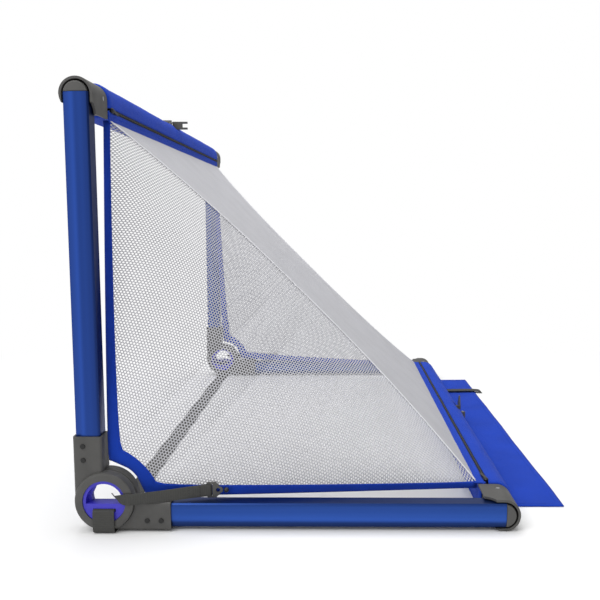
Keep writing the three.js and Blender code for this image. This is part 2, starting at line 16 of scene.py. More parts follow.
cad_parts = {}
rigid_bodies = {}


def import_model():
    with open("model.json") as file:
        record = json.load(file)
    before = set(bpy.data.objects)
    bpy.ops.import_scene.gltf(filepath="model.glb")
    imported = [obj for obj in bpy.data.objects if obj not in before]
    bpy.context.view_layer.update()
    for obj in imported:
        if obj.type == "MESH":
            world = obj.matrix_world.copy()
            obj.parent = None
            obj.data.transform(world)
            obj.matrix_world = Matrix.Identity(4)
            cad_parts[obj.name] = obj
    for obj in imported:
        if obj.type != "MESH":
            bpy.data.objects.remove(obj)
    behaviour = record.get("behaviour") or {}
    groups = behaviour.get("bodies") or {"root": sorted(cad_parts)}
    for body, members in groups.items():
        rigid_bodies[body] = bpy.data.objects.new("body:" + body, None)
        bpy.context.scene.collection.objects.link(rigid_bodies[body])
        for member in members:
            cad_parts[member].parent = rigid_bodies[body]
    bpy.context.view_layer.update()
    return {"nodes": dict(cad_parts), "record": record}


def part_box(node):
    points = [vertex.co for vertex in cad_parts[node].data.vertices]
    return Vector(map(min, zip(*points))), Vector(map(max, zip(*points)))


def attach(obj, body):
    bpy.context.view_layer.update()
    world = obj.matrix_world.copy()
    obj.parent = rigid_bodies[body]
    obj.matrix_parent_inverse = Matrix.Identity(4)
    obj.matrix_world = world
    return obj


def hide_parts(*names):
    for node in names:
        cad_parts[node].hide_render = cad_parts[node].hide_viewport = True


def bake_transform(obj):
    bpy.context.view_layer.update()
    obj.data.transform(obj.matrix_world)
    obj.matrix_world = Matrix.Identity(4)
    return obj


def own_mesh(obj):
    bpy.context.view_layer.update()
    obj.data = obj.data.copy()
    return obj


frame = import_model()
MM = 0.001


# ---- Measures read from the frame ----------------------------------------------------------------
def low(node):
    return np.array(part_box(node)[0]) / MM


def high(node):
    return np.array(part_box(node)[1]) / MM


def centre(node):
    return (low(node) + high(node)) / 2


HUB_Z = centre("hub_core_right")[2]
TUBE_X = centre("top_corner_pin_right")[0]
ARM = centre("top_corner_pin_right")[2] - HUB_Z
SLEEVE_END = high("crossbar_sleeve")[1]
SLEEVE_TOP = high("crossbar_sleeve")[2] - HUB_Z - ARM
SLEEVE_REAR = high("crossbar_sleeve")[0] - TUBE_X
SLEEVE_FRONT = TUBE_X - low("crossbar_sleeve")[0]
SLEEVE_FLOOR = low("crossbar_sleeve")[2] - HUB_Z - ARM
HUB_FACE = low("hub_post_housing_right")[1]
CORE_BACK = high("hub_core_right")[1]
SEAM = 2 * (high("side_net_right")[2] - HUB_Z) * math.sqrt(0.5)
HALF_SEAM = SEAM / 2
SEAM_S = HALF_SEAM * math.sqrt(2)
SEAM_ENDS = high("back_net")[1] + 4
SEAM_WAIST = -high("side_net_right")[1]
BUCKLE = low("tension_buckle_right")
FLAP_LOW = low("ground_flap")
FLAP_HIGH = high("ground_flap")
STRAP_LOW = low("flap_strap")
STRAP_HIGH = high("flap_strap")
NET_PITCH = 5.3  # between the centres of neighbouring holes
NET_HOLE = 3.4
TUBE_HALF = 21.0  # half the width of a tube's face, and a little more


# ---- Placing and making pieces -------------------------------------------------------------------
def placed(points, arm="post", side="right"):
    """Points of an arm's frame, in millimetres, as points of the row frame, in metres."""
    p = np.array(points, float).reshape(-1, 3)
    x, y, z = p[:, 0], p[:, 1], p[:, 2]
    if arm == "ground":
        x, z = z, x
    if side == "left":
        y = -y
    return np.stack([x, y, z + HUB_Z], 1) * MM


def piece(name, points, faces, material, slot, arm="post", side="right", cloth=None, replaces=()):
    """A new mesh. cloth holds each point's place on the flat fabric, in millimetres, for its weave."""
    turned = (arm == "ground") != (side == "left")
    mesh = bpy.data.meshes.new(name)
    ordered = [tuple(reversed(f)) for f in faces] if turned else faces
    mesh.from_pydata(placed(points, arm, side).tolist(), [], ordered)
    mesh.shade_smooth()
    if cloth is not None:
        place = np.zeros((len(mesh.vertices), 3), np.float32)
        place[:, :2] = np.array(cloth, float).reshape(-1, 2) * MM
        mesh.attributes.new("cloth", "FLOAT_VECTOR", "POINT").data.foreach_set("vector", place.ravel())
    mesh.materials.append(material)
    ob = bpy.data.objects.new(name, mesh)
    bpy.context.scene.collection.objects.link(ob)
    if replaces:
        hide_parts(*replaces)
    return ob


def grid_faces(rows, columns, skip=None):
    """Faces of a grid of points stored row by row."""
    faces = []
    for r in range(rows - 1):
        for c in range(columns - 1):
            if skip is None or not skip(r, c):
                a = r * columns + c
                faces.append((a, a + 1, a + columns + 1, a + columns))
    return faces


def tube_faces(rows, columns):
    """Faces of a closed tube whose rings of points are stored row by row, with both ends capped."""
    faces = []
    for r in range(rows - 1):
        for c in range(columns):
            a, b = r * columns + c, r * columns + (c + 1) % columns
            faces.append((a, b, b + columns, a + columns))
    faces.append(tuple(reversed(range(columns))))
    faces.append(tuple(range((rows - 1) * columns, rows * columns)))
    return faces


def solidify(ob, thickness, offset=-1.0):
    m = ob.modifiers.new("thickness", "SOLIDIFY")
    m.thickness = thickness * MM
    m.offset = offset
    m.use_even_offset = True


def unit(v):
    return v / np.maximum(np.linalg.norm(v, axis=-1, keepdims=True), 1e-9)


def resample(path, step):
    """A smooth curve through the points of a path, at about one point each step."""
    p = np.array(path, float)
    padded = np.vstack([2 * p[0] - p[1], p, 2 * p[-1] - p[-2]])
    out = []
    for i in range(1, len(p)):
        a, b, c, d = padded[i - 1], padded[i], padded[i + 1], padded[i + 2]
        count = max(2, int(np.linalg.norm(c - b) / step))
        for t in np.arange(count) / count:
            out.append(
                b + 0.5 * t * ((c - a) + t * ((2 * a - 5 * b + 4 * c - d) + t * (3 * (b - c) + d - a)))
            )
    out.append(p[-1])
    return np.array(out)


# A strap's lower face from edge to edge, in half widths and thicknesses. The upper face is the same
# line turned half round.
STRAP_FACE = [
    (-1.0, -0.15),
    (-0.985, -0.42),
    (-0.95, -0.5),
    (-0.5, -0.5),
    (0.0, -0.5),
    (0.5, -0.5),
    (0.95, -0.5),
    (0.985, -0.42),
    (1.0, -0.15),
]
STRAP_SECTION = STRAP_FACE + [(-w, -t) for w, t in STRAP_FACE]


def ribbon(name, path, across, width, thick, material, slot, skewed=False, **options):
    """A flat strap along a path, width and thick in millimetres.

    across is the direction of its width, one for all points or one for each. A skewed strap keeps
    across as it is given, which shows a slanted fold.
    """
    p = np.array(path, float)
    along = unit(np.gradient(p, axis=0))
    side = unit(np.broadcast_to(np.array(across, float), p.shape))
    if not skewed:
        side = unit(side - along * np.sum(side * along, 1, keepdims=True))
    up = unit(np.cross(along, side))
    half = np.broadcast_to(np.array(width, float) / 2, (len(p),))
    length = np.concatenate([[0], np.cumsum(np.linalg.norm(np.diff(p, axis=0), axis=1))])
    points, cloth = [], []
    for i in range(len(p)):
        for w, t in STRAP_SECTION:
            points.append(p[i] + side[i] * half[i] * w + up[i] * thick * t)
            cloth.append((half[i] * w, length[i]))
    return piece(
        name, points, tube_faces(len(p), len(STRAP_SECTION)), material, slot, cloth=cloth, **options
    )


def stitches(
    name, path, outward, material, slot, length=3.0, pitch=4.6, thick=0.45, **options
):
    """A row of stitches along a path, each a small bead that stands out of the fabric."""
    p = np.array(path, float)
    way = np.concatenate([[0], np.cumsum(np.linalg.norm(np.diff(p, axis=0), axis=1))])
    out = unit(np.broadcast_to(np.array(outward, float), p.shape))

    def at(place, rows):
        return np.array([np.interp(place, way, rows[:, k]) for k in range(3)])

    points, faces = [], []
    for middle in np.arange(pitch / 2, way[-1], pitch):
        start = at(middle - length / 2, p)
        end = at(middle + length / 2, p)
        n = unit(at(middle, out))
        along = unit(end - start)
        side = np.cross(n, along)
        centre_point = (start + end) / 2
        base = len(points)
        points.append(start)
        for d in (-0.28, 0.28):
            q = centre_point + along * length * d
            points += [q + side * thick, q + n * thick * 1.2, q - side * thick, q - n * thick]
        points.append(end)
        for k in range(4):
            j = (k + 1) % 4
            faces.append((base, base + 1 + j, base + 1 + k))
            faces.append((base + 1 + k, base + 1 + j, base + 5 + j, base + 5 + k))
            faces.append((base + 5 + k, base + 5 + j, base + 9))
    return piece(name, points, faces, material, slot, **options)


# ---- Materials -----------------------------------------------------------------------------------
def new_material(name):
    m = bpy.data.materials.new(name)
    m.use_nodes = True
    nt = m.node_tree
    shader = nt.nodes["Principled BSDF"]
    return m, nt, shader


def node(nt, kind, **inputs):
    """A shader node. Keys in capitals set its properties, and the others its inputs."""
    n = nt.nodes.new(kind)
    for key, value in inputs.items():
        if key.isupper():
            setattr(n, key.lower(), value)
        else:
            n.inputs[key.replace("_", " ")].default_value = value
    return n


def place_node(nt, stretch, attribute=None):
    """Coordinates of the fabric, or of the object, stretched along its axes."""
    if attribute:
        source = node(nt, "ShaderNodeAttribute", ATTRIBUTE_NAME=attribute).outputs["Vector"]
    else:
        source = node(nt, "ShaderNodeTexCoord").outputs["Object"]
    mapping = node(nt, "ShaderNodeMapping", Scale=stretch)
    nt.links.new(source, mapping.inputs["Vector"])
    return mapping.outputs["Vector"]


def ramp(nt, source, dark, light, start=0.3, end=0.7):
    n = nt.nodes.new("ShaderNodeValToRGB")
    n.color_ramp.elements[0].position = start
    n.color_ramp.elements[0].color = (*dark, 1)
    n.color_ramp.elements[1].position = end
    n.color_ramp.elements[1].color = (*light, 1)
    nt.links.new(source, n.inputs["Fac"])
    return n.outputs["Color"]


def span(nt, source, to_min, to_max):
    n = node(nt, "ShaderNodeMapRange", To_Min=to_min, To_Max=to_max)
    nt.links.new(source, n.inputs["Value"])
    return n.outputs["Result"]


def bump(nt, height, distance, strength=1.0, normal=None):
    n = node(nt, "ShaderNodeBump", Strength=strength, Distance=distance)
    nt.links.new(height, n.inputs["Height"])
    if normal is not None:
        nt.links.new(normal, n.inputs["Normal"])
    return n.outputs["Normal"]


def scaled(colour, factor):
    return tuple(c * factor for c in colour)


WAVE_SPACING = 2 * math.pi / 20  # between the bands of a wave texture of scale 1


def woven(name, colour, pitch, depth=0.00025, contrast=0.12, roughness=0.85, ribs=None):
    """A weave of two sets of threads, with slow changes of shade.

    pitch is the distance between threads in metres, and ribs the ratio of the two sets' pitches.
    """
    m, nt, shader = new_material(name)
    wave = WAVE_SPACING / pitch
    coordinates = place_node(nt, (1, 1, 1), "cloth")
    warp = node(nt, "ShaderNodeTexWave", BANDS_DIRECTION="X", Scale=wave, Distortion=0.0)
    weft = node(nt, "ShaderNodeTexWave", BANDS_DIRECTION="Y", Scale=wave * (ribs or 1.0), Distortion=0.0)
    cloud = node(nt, "ShaderNodeTexNoise", Scale=14.0, Detail=3.0)
    fibre = node(nt, "ShaderNodeTexNoise", Scale=1400.0, Detail=2.0)
    for n in (warp, weft, cloud, fibre):
        nt.links.new(coordinates, n.inputs["Vector"])
    threads = node(nt, "ShaderNodeMath", OPERATION="MAXIMUM")
    nt.links.new(warp.outputs["Fac"], threads.inputs[0])
    nt.links.new(weft.outputs["Fac"], threads.inputs[1])
    shade = node(nt, "ShaderNodeMath", OPERATION="ADD")
    nt.links.new(span(nt, cloud.outputs["Fac"], 0.0, 0.7), shade.inputs[0])
    nt.links.new(span(nt, threads.outputs["Value"], 0.0, 0.3), shade.inputs[1])
    base = ramp(nt, shade.outputs["Value"], scaled(colour, 1 - contrast), scaled(colour, 1 + contrast))
    nt.links.new(base, shader.inputs["Base Color"])
    rough = span(nt, fibre.outputs["Fac"], roughness - 0.1, roughness + 0.1)
    nt.links.new(rough, shader.inputs["Roughness"])
    fine = bump(nt, fibre.outputs["Fac"], depth * 0.4)
    nt.links.new(bump(nt, threads.outputs["Value"], depth, normal=fine), shader.inputs["Normal"])
    shader.inputs["Sheen Weight"].default_value = 0.04
    shader.inputs["Sheen Roughness"].default_value = 0.5
    shader.inputs["Specular IOR Level"].default_value = 0.15
    return m


def paint_light_across(nt, base, painted_light, axis, middle):
    """The colour base times painted light and shade: factors that run from one side of a tube to the
    other.
    """
    half = TUBE_HALF * MM
    parts = node(nt, "ShaderNodeSeparateXYZ")
    nt.links.new(node(nt, "ShaderNodeTexCoord").outputs["Object"], parts.inputs[0])
    place = node(nt, "ShaderNodeMapRange", From_Min=middle - half, From_Max=middle + half)
    nt.links.new(parts.outputs[axis], place.inputs["Value"])
    band = nt.nodes.new("ShaderNodeValToRGB")
    band.color_ramp.interpolation = "EASE"
    stops = band.color_ramp.elements
    for k in range(1, len(painted_light) - 1):
        stops.new(k / (len(painted_light) - 1))
    for stop, shade in zip(stops, painted_light):
        stop.color = (shade, shade, shade, 1)
    nt.links.new(place.outputs["Result"], band.inputs["Fac"])
    shaded = node(nt, "ShaderNodeMix", DATA_TYPE="RGBA", BLEND_TYPE="MULTIPLY")
    shaded.inputs["Factor"].default_value = 1.0
    nt.links.new(base, shaded.inputs[6])
    nt.links.new(band.outputs["Color"], shaded.inputs[7])
    return shaded.outputs[2]


def extruded_metal(name, colour, along, painted_light=None, roughness=0.3):
    """Anodised aluminium with fine draw lines along one axis.

    Its colour can be multiplied by painted light and shade: factors from one side of the tube's face to
    the other, standing in for the slightly curved face catching the light unevenly.
    """
    m, nt, shader = new_material(name)
    stretch = [1.0, 1.0, 1.0]
    stretch[along] = 0.01
    coordinates = place_node(nt, stretch)
    lines = node(nt, "ShaderNodeTexNoise", Scale=900.0, Detail=3.0)
    cloud = node(nt, "ShaderNodeTexNoise", Scale=60.0, Detail=2.0)
    nt.links.new(coordinates, lines.inputs["Vector"])
    nt.links.new(coordinates, cloud.inputs["Vector"])
    base = ramp(nt, cloud.outputs["Fac"], scaled(colour, 0.92), scaled(colour, 1.08))
    if painted_light:
        axis = 2 - along
        middle = TUBE_X * MM if axis == 0 else (TUBE_X + HUB_Z) * MM
        base = paint_light_across(nt, base, painted_light, axis, middle)
    nt.links.new(base, shader.inputs["Base Color"])
    rough = span(nt, lines.outputs["Fac"], roughness - 0.07, roughness + 0.09)
    nt.links.new(rough, shader.inputs["Roughness"])
    nt.links.new(bump(nt, lines.outputs["Fac"], 0.00003, 0.6), shader.inputs["Normal"])
    shader.inputs["Metallic"].default_value = 0.85
    return m


def moulded(name, colour, roughness=0.55, grain=0.00006, speckle=0.12, metallic=0.0):
    """Moulded plastic or plain metal with a fine grain and faint rubbed patches."""
    m, nt, shader = new_material(name)
    coordinates = place_node(nt, (1, 1, 1))
    fine = node(nt, "ShaderNodeTexNoise", Scale=1800.0, Detail=2.0)
    patch = node(nt, "ShaderNodeTexNoise", Scale=28.0, Detail=4.0)
    nt.links.new(coordinates, fine.inputs["Vector"])
    nt.links.new(coordinates, patch.inputs["Vector"])
    base = ramp(nt, patch.outputs["Fac"], scaled(colour, 1 - speckle), scaled(colour, 1 + speckle))
    nt.links.new(base, shader.inputs["Base Color"])
    rough = span(nt, patch.outputs["Fac"], roughness + 0.12, roughness - 0.12)
    nt.links.new(rough, shader.inputs["Roughness"])
    nt.links.new(bump(nt, fine.outputs["Fac"], grain, 0.7), shader.inputs["Normal"])
    shader.inputs["Metallic"].default_value = metallic
    return m


BLUE = (0.007, 0.046, 0.41)
FABRIC = woven("blue_fabric", BLUE, 0.0008)
BINDING = woven("border_band", scaled(BLUE, 0.92), 0.0009)
WEBBING = woven(
    "grey_webbing", (0.058, 0.058, 0.055), 0.0021, depth=0.0003, contrast=0.12, ribs=0.55
)
ZIP_TAPE = woven("zip_tape", (0.012, 0.012, 0.014), 0.0012, contrast=0.3)
YARN = woven(
    "net_yarn", (0.46, 0.46, 0.485), 0.0009, depth=0.0001, contrast=0.06, roughness=0.8
)
SEAM_TAPE = woven("seam_tape", (0.70, 0.70, 0.73), 0.0009, contrast=0.06)
THREAD = woven("sewing_thread", (0.012, 0.035, 0.33), 0.0005, depth=0.0001)
DARK_THREAD = woven("dark_thread", (0.03, 0.03, 0.03), 0.0005, depth=0.0001)
# Painted light and shade: factors of each tube's colour across its face, lighter where the face would
# catch light and darker where it would be in shade.
POST_PAINTED_LIGHT = (0.75, 0.85, 1.0, 0.72, 0.78, 0.7, 0.35)  # from the mouth side to the net side
BAR_PAINTED_LIGHT = (0.3, 0.45, 1.0, 0.9, 0.8, 0.75, 0.4)  # from the bottom to the top
# The post and the ground bar are one anodised blue. The ground bar's copy is painted lighter, as painted
# light on its face.
POST_METAL = extruded_metal("anodised_post", (0.022, 0.070, 0.34), 2, POST_PAINTED_LIGHT)
BAR_METAL = extruded_metal("anodised_ground_bar", (0.026, 0.085, 0.38), 0, BAR_PAINTED_LIGHT)
CROSS_METAL = extruded_metal("mill_finish_bar", (0.62, 0.64, 0.66), 1, roughness=0.4)
GREY_PLASTIC = moulded("grey_plastic", (0.062, 0.061, 0.058))
CORE_PLASTIC = moulded("core_plastic", (0.036, 0.028, 0.46), roughness=0.42, speckle=0.06)
BLACK_METAL = moulded("black_screws", (0.014, 0.014, 0.014), roughness=0.4, metallic=0.3)
BLACK_PLASTIC = moulded("black_ball", (0.008, 0.008, 0.008), roughness=0.4)
STEEL = moulded("pin_steel", (0.5, 0.51, 0.53), roughness=0.3, metallic=1.0, speckle=0.05)
CAD_MATERIALS = {
    "mill_aluminium": CROSS_METAL,
    "pin_steel": STEEL,
    "screw_black": BLACK_METAL,
    "ball_black": BLACK_PLASTIC,
    "core_blue": CORE_PLASTIC,
    "plastic_grey": GREY_PLASTIC,
}


# ---- Hard pieces keep their CAD shape ------------------------------------------------------------
def finish_hard_piece(ob, material, edge):
    mesh = ob.data
    mesh.materials.clear()
    mesh.materials.append(material)
    if "custom_normal" in mesh.attributes:
        mesh.attributes.remove(mesh.attributes["custom_normal"])
    mesh.shade_smooth()
    weld = ob.modifiers.new("weld", "WELD")
    weld.merge_threshold = 1e-6
    bevel = ob.modifiers.new("edges", "BEVEL")
    bevel.width = edge * MM
    bevel.segments = 2
    bevel.limit_method = "ANGLE"
    bevel.angle_limit = math.radians(38)
    bevel.use_clamp_overlap = True
    bevel.harden_normals = False
    normals = ob.modifiers.new("normals", "WEIGHTED_NORMAL")
    normals.weight = 90


slots = {s["node"]: s["material_slot"] for s in frame["record"]["subparts"]}
for name, ob in frame["nodes"].items():
    if slots[name] == "anodised_blue":
        finish_hard_piece(ob, POST_METAL if name.startswith("post") else BAR_METAL, 0.35)
    elif slots[name] in CAD_MATERIALS:
        edge = 1.0 if "hood" in name or "housing" in name else 0.5
        finish_hard_piece(ob, CAD_MATERIALS[slots[name]], edge)


# ---- Sleeves -------------------------------------------------------------------------------------
ZIP_HEIGHT = -15.0  # below the bar's centreline, on the sleeve's inner side
ZIP_WIDTH = 6.0
HEM_END = -36.0
SLOT_HALF = 26.0  # the slot at mid-length, which the centre hinge stands in
SLOT_FLOOR = 15.0
SLOT_SIDES = (-13.0, 27.0)
FABRIC_THICK = 1.3
END_TUCK = 3.4  # how far each end draws in to its hood


def ripple(y, k):
    """A shallow, irregular fold pattern along the sleeve."""
    return (
        0.5 * math.sin(y / 47.0 + 1.3 * k)
        + 0.35 * math.sin(y / 19.0 + 2.1 * k + 0.7)
        + 0.2 * math.sin(y / 8.3 + 3.7 * k)
    )


def sleeve_outline():
    """Points round the sleeve with outward normals, from the zip over the top and back below."""
    points = []
    for z in np.linspace(ZIP_HEIGHT + ZIP_WIDTH / 2, 0, 4)[:-1]:
        points.append((SLEEVE_REAR, z, 1, 0))
    for a in np.linspace(0, 90, 15):
        c, s = math.cos(math.radians(a)), math.sin(math.radians(a))
        points.append((SLEEVE_REAR * c, SLEEVE_TOP * s, c, s))
    for a in np.linspace(90, 180, 15)[1:]:
        c, s = math.cos(math.radians(a)), math.sin(math.radians(a))
        points.append((SLEEVE_FRONT * c, SLEEVE_TOP * s, c, s))
    for z in np.linspace(0, SLEEVE_FLOOR + 4, 6)[1:]:
        points.append((-SLEEVE_FRONT, z, -1, 0))
    points.append((-SLEEVE_FRONT + 1.2, SLEEVE_FLOOR + 1.2, -0.7, -0.7))
    for x in np.linspace(-SLEEVE_FRONT + 4, SLEEVE_REAR - 5, 8):
        points.append((x, SLEEVE_FLOOR, 0, -1))
    points.append((SLEEVE_REAR - 2.5, SLEEVE_FLOOR + 1.5, 0.5, -0.8))
    for z in np.linspace(SLEEVE_FLOOR + 3.5, ZIP_HEIGHT - ZIP_WIDTH / 2, 3):
        points.append((SLEEVE_REAR - 1.2, z, 1, 0))
    return points


OUTLINE = sleeve_outline()
FOLDS = {
    "crossbar": ("crossbar_right", "crossbar_left", "post"),
    "rear_bar": ("rear_bar_right", "rear_bar_left", "ground"),
}


def bend_at_middle(ob):
    """The piece crosses the bar's centre hinge. Its transform is baked into its points, and nothing bends
    it there.
    """
    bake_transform(ob)


def sleeve_stations():
    """Places along the sleeve, closer together at its slot."""
    even = np.linspace(-SLEEVE_END, SLEEVE_END, 173).round(3).tolist()
    slot = np.linspace(-SLOT_HALF, SLOT_HALF, 14).round(3).tolist()
    ends = [-SLEEVE_END + 3, SLEEVE_END - 3]
    return sorted(set(even + slot + ends))


def sleeve_cover(bar, stations):
    arm = FOLDS[bar][2]
    way = [0.0]
    for before, after in zip(OUTLINE[:-1], OUTLINE[1:]):
        way.append(way[-1] + math.dist(before[:2], after[:2]))
    points, cloth = [], []
    for y in stations:  # the fabric creases more near its ends and its slot
        near_end = max(0.0, 1 - (SLEEVE_END - abs(y)) / 90)
        near_slot = math.exp(-(((abs(y) - SLOT_HALF) / 30) ** 2))
        amount = 0.35 + 0.5 * near_end + 0.7 * near_slot
        tuck = END_TUCK * max(0.0, 1 - (SLEEVE_END - abs(y)) / 7) ** 2
        for k, (dx, dz, nx, nz) in enumerate(OUTLINE):
            r = amount * ripple(y, k * 0.11) - 0.9 - tuck
            points.append((TUBE_X + dx + nx * r, y, ARM + dz + nz * r))
            cloth.append((way[k], y))

    def in_slot(r, c):
        y = (stations[r] + stations[r + 1]) / 2
        dx = (OUTLINE[c][0] + OUTLINE[c + 1][0]) / 2
        dz = (OUTLINE[c][1] + OUTLINE[c + 1][1]) / 2
        return abs(y) < SLOT_HALF and dz > SLOT_FLOOR and SLOT_SIDES[0] < dx < SLOT_SIDES[1]

    cover = piece(
        f"{bar}_cover",
        points,
        grid_faces(len(stations), len(OUTLINE), in_slot),
        FABRIC,
        "blue_fabric",
        arm=arm,
        cloth=cloth,
        replaces=(f"{bar}_sleeve",),
    )
    solidify(cover, FABRIC_THICK)
    bend_at_middle(cover)


def sleeve_hem(bar, stations):
    """The strip below the zip, which the nets are sewn to."""
    arm = FOLDS[bar][2]
    points, cloth = [], []
    for y in stations:
        for share in np.linspace(0, 1, 6):
            z = ZIP_HEIGHT - 1 + (HEM_END - ZIP_HEIGHT + 1) * share
            x = SLEEVE_REAR - 2.6 + 0.9 * share + 0.35 * ripple(y, 0.4 + share)
            points.append((TUBE_X + x, y, ARM + z))
            cloth.append((share * 19, y))
    faces = grid_faces(len(stations), 6)
    hem = piece(f"{bar}_hem", points, faces, BINDING, "blue_fabric", arm=arm, cloth=cloth)
    solidify(hem, 1.8, 0.0)
    bend_at_middle(hem)


def sleeve_zip(bar, stations):
    arm = FOLDS[bar][2]
    ys = np.array(stations)
    line = np.zeros((len(ys), 3))
    line[:, 0] = TUBE_X + SLEEVE_REAR - 0.9
    line[:, 1] = ys
    line[:, 2] = ARM + ZIP_HEIGHT
    upright = (0, 0, 1)
    tape = ribbon(
        f"{bar}_zip_tape", line[2:-2], upright, ZIP_WIDTH, 1.3, ZIP_TAPE, "blue_fabric", arm=arm
    )
    bend_at_middle(tape)
    coil = zip_coil(f"{bar}_zip_coil", line[2:-2] + [0.8, 0, 0], arm)
    bend_at_middle(coil)
    rows = {"upper": (0.25, ZIP_WIDTH / 2 + 2.4), "lower": (-0.9, -ZIP_WIDTH / 2 - 2.2)}
    for label, (out, up) in rows.items():
        sewn = line[3:-3] + [out, 0, up]
        name = f"{bar}_zip_stitches_{label}"
        row = stitches(name, sewn, (1, 0, 0), THREAD, "blue_fabric", arm=arm)
        bend_at_middle(row)


def zip_coil(name, line, arm):
    """The zip's closed coil: one short tooth after the other."""
    length = line[-1][1] - line[0][1]
    count = int(length / 2.4)
    points, faces = [], []
    x, z = line[0][0], line[0][2]
    for i in range(count):
        y = line[0][1] + (i + 0.5) * length / count
        base = len(points)
        for dy, h, w in ((-0.8, 0.0, 1.9), (-0.45, 0.8, 1.4), (0.45, 0.8, 1.4), (0.8, 0.0, 1.9)):
            points += [(x + h, y + dy, z - w), (x + h, y + dy, z + w)]
        for k in range(3):
            a = base + 2 * k
            faces.append((a, a + 1, a + 3, a + 2))
        faces.append((base, base + 2, base + 4, base + 6))
        faces.append((base + 7, base + 5, base + 3, base + 1))
        faces.append((base, base + 6, base + 7, base + 1))
    return piece(name, points, faces, BLACK_PLASTIC, "ball_black", arm=arm)


def zip_slider(bar, body):
    """The slider at the zip's right end, with its pull folded down along the tape."""
    arm = FOLDS[bar][2]
    x = TUBE_X + SLEEVE_REAR + 0.6
    y = -SLEEVE_END + 11
    z = ARM + ZIP_HEIGHT
    outline = [(-6, -2.6), (-3, -4.2), (3, -4.2), (6, -3), (6, 3), (3, 4.2), (-3, 4.2), (-6, 2.6)]
    points = []
    for h, k in ((0, 1.0), (1.6, 1.0), (2.4, 0.8)):
        points += [(x + h, y + a * k, z + b * k) for a, b in outline]
    faces = tube_faces(3, len(outline))
    ob = piece(f"{bar}_zip_slider", points, faces, BLACK_METAL, "screw_black", arm=arm)
    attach(ob, body)
    run = [(2.6, -2, 0), (3.4, 4, -1), (2.6, 14, -2.5), (2.2, 25, -4)]
    path = resample([(x + dx, y + dy, z + dz) for dx, dy, dz in run], 2)
    name = f"{bar}_zip_pull"
    pull = ribbon(name, path, (0, 0, 1), 4.6, 1.2, WEBBING, "webbing_grey", arm=arm)
    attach(pull, body)


STATIONS = sleeve_stations()
for bar in FOLDS:
    sleeve_cover(bar, STATIONS)
    sleeve_hem(bar, STATIONS)
    sleeve_zip(bar, STATIONS)
    zip_slider(bar, FOLDS[bar][0])


# ---- Net panels ----------------------------------------------------------------------------------
# s = x + z runs square to the seam between a side panel and the rear panel, and q runs along the
# seam from the rear corner to the top corner.
NET_CURVE = 2.5  # the power with which the seam and the side panels curve
HUB_CLEAR = 60.0  # radius of the side panel's edge round the hub
POST_START = 74.0  # where that edge goes over to the post
PANEL_Y = -575.0  # of the side panel's edge at the hub
PANEL_LEAN = 64.0  # how much nearer mid-width that edge is at the arm's end
REAR_SAG = 13.0  # how far the middle of the rear panel hangs in


def seam_reach(q):
    """How far from mid-width the seam runs: its waist is half-way between its ends."""
    share = np.minimum(np.abs(q) / HALF_SEAM, 1.01)
    return SEAM_WAIST + (SEAM_ENDS - SEAM_WAIST) * share**NET_CURVE


def side_start(q):
    """s and y where the side panel begins: at the post, round the hub and at the ground bar."""
    square = np.abs(q) * math.sqrt(2)
    share = np.clip((square - POST_START) / (SEAM_S - POST_START), 0, 1)
    straight = square + 2 - 12 * share
    curved = math.sqrt(2) * np.sqrt(np.maximum(HUB_CLEAR**2 - q**2, 0))
    return np.maximum(straight, curved), PANEL_Y + PANEL_LEAN * share


def side_surface(q, s):
    """y of the right side panel."""
    start, y = side_start(q)
    share = np.clip((s - start) / (SEAM_S - start), 0, 1)
    return y + (-seam_reach(q) - y) * share**NET_CURVE


def from_seam(q, s, y):
    return np.stack([s / 2 - q * math.sqrt(0.5), y, s / 2 + q * math.sqrt(0.5)], -1)


def hex_cells(u_range, v_range, keep):
    """Centres of the net holes of a hexagonal lattice for which keep(u, v) holds."""
    rows = np.arange(v_range[0], v_range[1], NET_PITCH * math.sqrt(3) / 2)
    out = []
    for i, v in enumerate(rows):
        u = np.arange(u_range[0] + (NET_PITCH / 2) * (i % 2), u_range[1], NET_PITCH)
        out.append(np.stack([u, np.full(len(u), v)], 1))
    cells = np.concatenate(out)
    return cells[keep(cells[:, 0], cells[:, 1])]


def net_mesh(cells):
    """Flat points and faces of a net with a hexagonal hole in each cell.

    The third result says which points lie on the ridge of a thread.
    """
    angles = np.radians(30 + 60 * np.arange(6))
    ring = np.stack([np.cos(angles), np.sin(angles)], 1)
    outer = cells[:, None, :] + ring * NET_PITCH / math.sqrt(3)
    inner = cells[:, None, :] + ring * NET_HOLE / math.sqrt(3)
    keys = np.round(outer.reshape(-1, 2) * 100).astype(np.int64)
    _, first, inverse = np.unique(keys, axis=0, return_index=True, return_inverse=True)
    corners = outer.reshape(-1, 2)[first]
    corner_index = inverse.reshape(-1, 6)
    inner_index = len(corners) + np.arange(len(cells) * 6).reshape(-1, 6)
    after = np.roll(np.arange(6), -1)
    faces = np.stack(
        [corner_index, corner_index[:, after], inner_index[:, after], inner_index], -1
    ).reshape(-1, 4)
    flat = np.concatenate([corners, inner.reshape(-1, 2)])
    ridge = np.arange(len(flat)) < len(corners)
    return flat, faces, ridge


def net_piece(name, flat, points, faces, side="right", replaces=()):
    return piece(
        name, points, faces.tolist(), YARN, "net_mesh", side=side, cloth=flat, replaces=replaces
    )


def side_fabric_table():
    """For each q, the way along the curved panel from the seam, at even steps in s."""
    q = np.linspace(-HALF_SEAM - 4, HALF_SEAM + 4, 241)
    share = np.linspace(0, 1, 161)
    start = side_start(q)[0]
    s = SEAM_S + (start - SEAM_S)[:, None] * share
    y = side_surface(q[:, None], s)
    step = np.sqrt(np.diff(s, axis=1) ** 2 / 2 + np.diff(y, axis=1) ** 2)
    way = np.concatenate([np.zeros((len(q), 1)), np.cumsum(step, axis=1)], 1)
    return q, s, way


